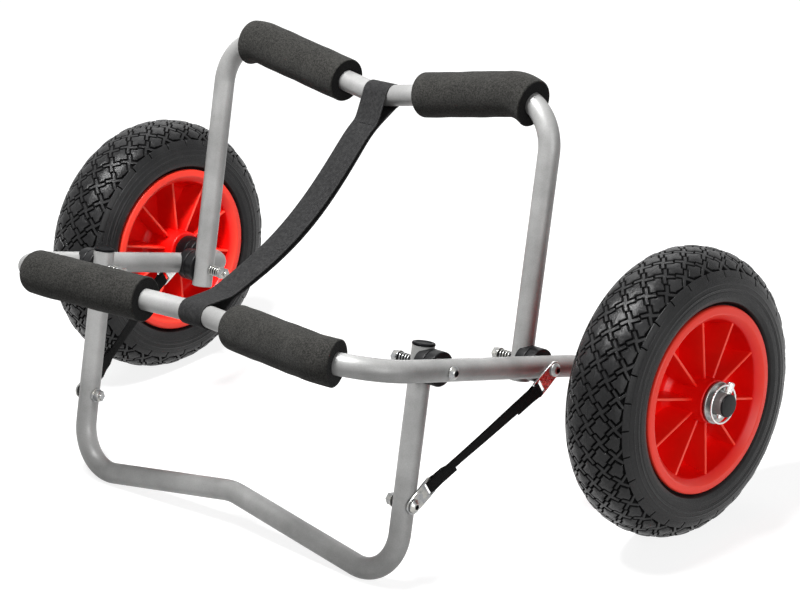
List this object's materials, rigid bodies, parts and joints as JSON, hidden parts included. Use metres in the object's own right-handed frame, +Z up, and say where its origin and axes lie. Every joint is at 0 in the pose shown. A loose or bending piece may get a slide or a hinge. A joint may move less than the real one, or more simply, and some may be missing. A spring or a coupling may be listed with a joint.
{
  "type": "folding kayak cart",
  "caption": "Folding tubular cart for carrying a kayak, with foam-covered bars, a kickstand, webbing straps and wheels held by ring pins.",
  "frame": {"origin": "on the ground under the middle of the cart's bounding box", "axes": "+X towards the right wheel along the axle line, +Y from the nose bar back to the axle and the upright, +Z up"},
  "size_m": [0.803, 0.4233, 0.3917],
  "materials": {
    "frame": "satin silver powder coat on steel tube",
    "foam": "matt closed-cell foam with a fine pebbled skin",
    "webbing": "woven polypropylene webbing",
    "nylon": "black moulded nylon, slightly worn",
    "bush": "pale moulded nylon",
    "zinc": "bright zinc plate",
    "rim": "red moulded plastic with a soft sheen",
    "tyre": "black foam-filled tyre, block tread, smooth walls"
  },
  "bodies": {
    "base": {"lower_frame": "frame", "nose_foam_left": "foam", "nose_foam_right": "foam", "connecting_strap": "webbing", "upright_arm_saddle_left": "nylon", "upright_arm_saddle_right": "nylon", "upright_pivot_bolt_left": "zinc", "upright_pivot_bolt_right": "zinc", "upright_pivot_nut_left": "zinc", "upright_pivot_nut_right": "zinc", "upright_pivot_spring_left": "zinc", "upright_pivot_spring_right": "zinc", "kickstand_arm_saddle_left": "nylon", "kickstand_arm_saddle_right": "nylon", "kickstand_pivot_bolt_left": "zinc", "kickstand_pivot_bolt_right": "zinc", "kickstand_pivot_nut_left": "zinc", "kickstand_pivot_nut_right": "zinc", "kickstand_pivot_spring_left": "zinc", "kickstand_pivot_spring_right": "zinc", "brace_arm_tab_left": "zinc", "brace_arm_tab_right": "zinc", "brace_strap_left": "webbing", "brace_strap_right": "webbing", "left_axle_collar": "nylon", "right_axle_collar": "nylon", "left_hub_washer": "zinc", "right_hub_washer": "zinc", "left_ring_pin": "zinc", "right_ring_pin": "zinc", "left_axle_cap": "nylon", "right_axle_cap": "nylon"},
    "upright": {"upright_frame": "frame", "top_foam_left": "foam", "top_foam_right": "foam", "upright_leg_saddle_left": "nylon", "upright_leg_saddle_right": "nylon"},
    "kickstand": {"kickstand_frame": "frame", "kickstand_leg_saddle_left": "nylon", "kickstand_leg_saddle_right": "nylon", "kickstand_cap_left": "nylon", "kickstand_cap_right": "nylon", "brace_stand_tab_left": "zinc", "brace_stand_tab_right": "zinc", "brace_bolt_left": "zinc", "brace_bolt_right": "zinc", "brace_nut_left": "zinc", "brace_nut_right": "zinc"},
    "left_wheel": {"left_tyre": "tyre", "left_rim": "rim", "left_hub_bush": "bush"},
    "right_wheel": {"right_tyre": "tyre", "right_rim": "rim", "right_hub_bush": "bush"},
    "left_bail": {"left_pin_bail": "zinc"},
    "right_bail": {"right_pin_bail": "zinc"}
  },
  "joints": [
    {"name": "upright_fold", "type": "hinge", "parent": "base", "child": "upright", "pos_m": [0, 0.02627, 0.14964], "axis": [1, 0, 0], "range_deg": [0, 74], "deforming": ["connecting_strap"]},
    {"name": "kickstand_fold", "type": "hinge", "parent": "base", "child": "kickstand", "pos_m": [0, -0.09928, 0.19414], "axis": [1, 0, 0], "range_deg": [0, 74], "deforming": ["brace_strap_left", "brace_strap_right"]},
    {"name": "left_wheel_spin", "type": "hinge", "parent": "base", "child": "left_wheel", "pos_m": [-0.345, 0.0817, 0.13], "axis": [1, 0, 0], "continuous": true},
    {"name": "right_wheel_spin", "type": "hinge", "parent": "base", "child": "right_wheel", "pos_m": [0.345, 0.0817, 0.13], "axis": [1, 0, 0], "continuous": true},
    {"name": "left_bail_swing", "type": "hinge", "parent": "base", "child": "left_bail", "pos_m": [-0.3945, 0.09205, 0.14348], "axis": [0, 0.7932, -0.609], "range_deg": [-5, 105]},
    {"name": "right_bail_swing", "type": "hinge", "parent": "base", "child": "right_bail", "pos_m": [0.3945, 0.09205, 0.14348], "axis": [0, -0.7932, 0.609], "range_deg": [-5, 105]}
  ]
}
